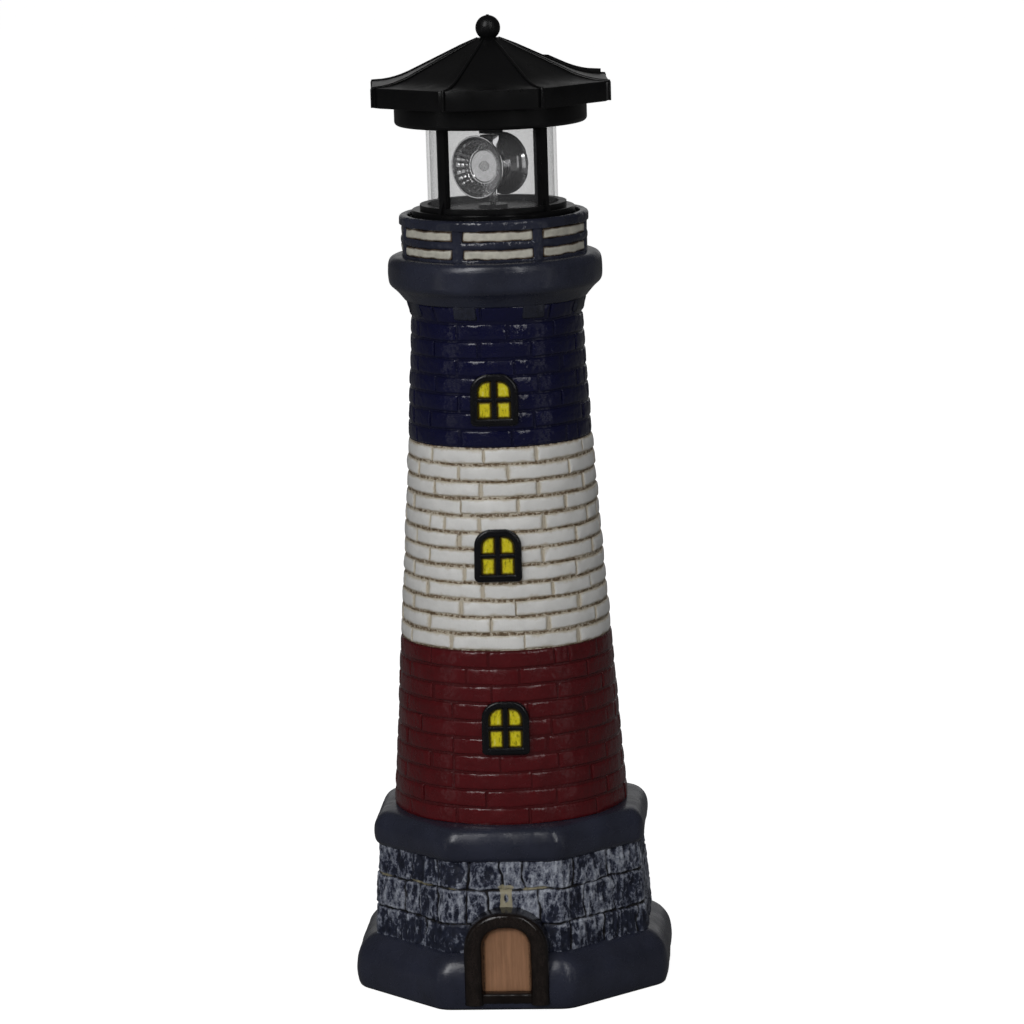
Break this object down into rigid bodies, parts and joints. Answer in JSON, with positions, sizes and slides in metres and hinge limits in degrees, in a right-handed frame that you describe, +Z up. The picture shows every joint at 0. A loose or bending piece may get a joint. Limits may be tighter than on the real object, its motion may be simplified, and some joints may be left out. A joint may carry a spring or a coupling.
{
  "type": "garden lighthouse ornament",
  "caption": "Garden lighthouse ornament: banded brick tower on an octagonal stone base, railed gallery, and a solar lamp head whose two-sided beacon turns in a glass lantern.",
  "frame": {"origin": "centre of the base on the plane it stands on", "axes": "+Z up along the tower; the door and windows face -Y; +X to the right when looking at the door"},
  "size_m": [0.1764, 0.1788, 0.5411],
  "materials": {
    "slate_paint": "brushed dark slate paint on cast stone, satin",
    "stone_paint": "slate blue paint with a pale dry brush on cast stone",
    "red_paint": "deep red gloss paint on cast stone",
    "white_paint": "off-white gloss paint with a brown wash in the joints, on cast stone",
    "navy_paint": "navy gloss paint on cast stone",
    "cream_paint": "cream paint with brownish edges on cast stone",
    "window_black": "black gloss paint on cast stone",
    "window_yellow": "yellow satin paint on cast stone",
    "door_brown": "very dark brown gloss paint on cast stone",
    "door_tan": "tan paint with wood grain on cast stone",
    "seal_rubber": "matte",
    "black_plastic": "semi-gloss moulded",
    "inner_plastic": "matte moulded",
    "pale_plastic": "matte moulded",
    "clear_plastic": "clear, polished",
    "solar_cell": "dark blue laminate",
    "chrome": "polished",
    "steel": "plain",
    "brass": "plain",
    "board_green": "solder mask",
    "cell_green": "plain shrink sleeve",
    "lead_red": "insulation",
    "led_lens": "clear lens"
  },
  "bodies": {
    "ornament": {"base_foot": "slate_paint", "stone_plinth": "stone_paint", "base_collar": "slate_paint", "red_tower": "red_paint", "white_tower": "white_paint", "navy_tower": "navy_paint", "gallery": "slate_paint", "railing": "slate_paint", "rail_panels": "cream_paint", "lower_window_frame": "window_black", "middle_window_frame": "window_black", "upper_window_frame": "window_black", "lower_window_panes": "window_yellow", "middle_window_panes": "window_yellow", "upper_window_panes": "window_yellow", "door_surround": "door_brown", "door_panel": "door_tan", "seat_ring": "seal_rubber"},
    "lamp_head": {"roof": "black_plastic", "finial": "black_plastic", "panel_frame": "black_plastic", "solar_panel": "solar_cell", "lamp_housing": "black_plastic", "glass_tube": "clear_plastic", "lamp_cage": "black_plastic", "lamp_tray": "black_plastic", "lamp_cup": "inner_plastic", "gear_deck": "pale_plastic", "drive_motor": "steel", "circuit_board": "board_green", "switch_body": "inner_plastic", "battery_cell": "cell_green", "battery_contacts": "steel", "panel_lead": "lead_red", "door_hinge_pin": "steel", "idler_pin": "steel", "brush_contacts": "brass", "roof_screws": "steel", "cage_screws": "steel", "cup_screws": "steel", "deck_screws": "steel"},
    "beacon": {"beacon_shaft": "steel", "drive_gear": "pale_plastic", "slip_rings": "brass", "beacon_hub": "chrome", "front_reflector": "chrome", "rear_reflector": "chrome", "front_led": "led_lens", "rear_led": "led_lens"},
    "idler": {"idler_gear": "pale_plastic"},
    "pinion": {"motor_pinion": "brass"},
    "switch": {"switch_knob": "inner_plastic"},
    "battery_cover": {"battery_door": "inner_plastic"}
  },
  "joints": [
    {"name": "lamp_lift", "type": "slide", "parent": "ornament", "child": "lamp_head", "axis": [0, 0, 1], "range_m": [0, 0.05]},
    {"name": "beacon_spin", "type": "hinge", "parent": "lamp_head", "child": "beacon", "pos_m": [0, 0, 0.458], "axis": [0, 0, 1], "continuous": true},
    {"name": "idler_spin", "type": "hinge", "parent": "lamp_head", "child": "idler", "pos_m": [0.00297, 0.01775, 0.4225], "axis": [0, 0, 1], "continuous": true},
    {"name": "pinion_spin", "type": "hinge", "parent": "lamp_head", "child": "pinion", "pos_m": [0.01362, 0.01597, 0.4225], "axis": [0, 0, 1], "continuous": true},
    {"name": "power_switch", "type": "slide", "parent": "lamp_head", "child": "switch", "axis": [-0.9954, -0.0958, 0], "range_m": [0, 0.003]},
    {"name": "battery_cover_hinge", "type": "hinge", "parent": "lamp_head", "child": "battery_cover", "pos_m": [0.00079, -0.00816, 0.3856], "axis": [0.9954, 0.0958, 0], "range_deg": [0, 90]}
  ],
  "couplings": [
    {"joint": "idler_spin", "follows": "beacon_spin", "ratio": -1.5},
    {"joint": "pinion_spin", "follows": "beacon_spin", "ratio": 3}
  ]
}
